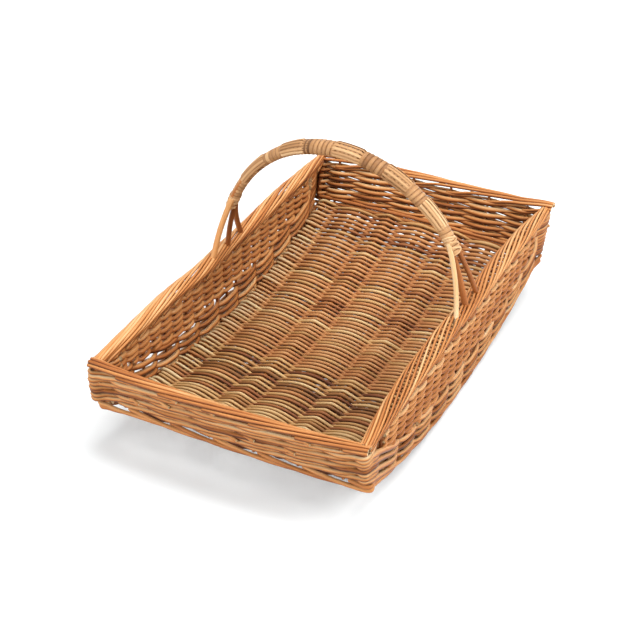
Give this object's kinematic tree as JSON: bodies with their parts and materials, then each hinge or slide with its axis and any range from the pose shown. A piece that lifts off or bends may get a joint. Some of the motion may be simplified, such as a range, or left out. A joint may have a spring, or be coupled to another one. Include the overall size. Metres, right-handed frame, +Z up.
{
  "type": "garden trug",
  "caption": "Shallow rectangular willow trug on a curved base, with a wrapped hoop handle across the middle.",
  "frame": {"origin": "middle of the flat patch under the curved base, on the surface it stands on", "axes": "+Z up, +Y along the length towards the back end wall, +X across the width towards the right side"},
  "size_m": [0.316, 0.5738, 0.272],
  "materials": {
    "floor_willow": "satin, fine woven rods in mixed cream and brown",
    "side_willow": "satin, randed rods in honey brown",
    "waling_willow": "satin, stout waled rods in orange brown",
    "border_willow": "satin, laid border rods in honey brown",
    "stick_willow": "matt, peeled sticks and stakes",
    "handle_willow": "satin, buff willow rods",
    "wrapping_cane": "satin, split cane"
  },
  "bodies": {
    "root": {"floor_weave": "floor_willow", "floor_stick_1": "stick_willow", "floor_stick_2": "stick_willow", "floor_stick_3": "stick_willow", "floor_stick_4": "stick_willow", "floor_stick_5": "stick_willow", "floor_stick_6": "stick_willow", "floor_stick_7": "stick_willow", "front_wale": "waling_willow", "front_border": "border_willow", "front_foot_rod": "border_willow", "front_stake_1": "stick_willow", "front_stake_2": "stick_willow", "front_stake_3": "stick_willow", "front_stake_4": "stick_willow", "front_stake_5": "stick_willow", "front_stake_6": "stick_willow", "corner_post_front_left": "stick_willow", "corner_post_front_right": "stick_willow", "back_wale": "waling_willow", "back_border": "border_willow", "back_foot_rod": "border_willow", "back_stake_1": "stick_willow", "back_stake_2": "stick_willow", "back_stake_3": "stick_willow", "back_stake_4": "stick_willow", "back_stake_5": "stick_willow", "back_stake_6": "stick_willow", "corner_post_back_left": "stick_willow", "corner_post_back_right": "stick_willow", "left_upsett": "waling_willow", "left_siding": "side_willow", "left_border": "border_willow", "left_foot_rod": "border_willow", "right_upsett": "waling_willow", "right_siding": "side_willow", "right_border": "border_willow", "right_foot_rod": "border_willow", "handle_bow": "handle_willow", "handle_front_rod": "handle_willow", "handle_back_rod": "handle_willow", "handle_wrap": "wrapping_cane", "handle_listing_front": "wrapping_cane", "handle_listing_back": "wrapping_cane", "wrap_tie_left": "wrapping_cane", "wrap_tie_right": "wrapping_cane"}
  },
  "joints": []
}
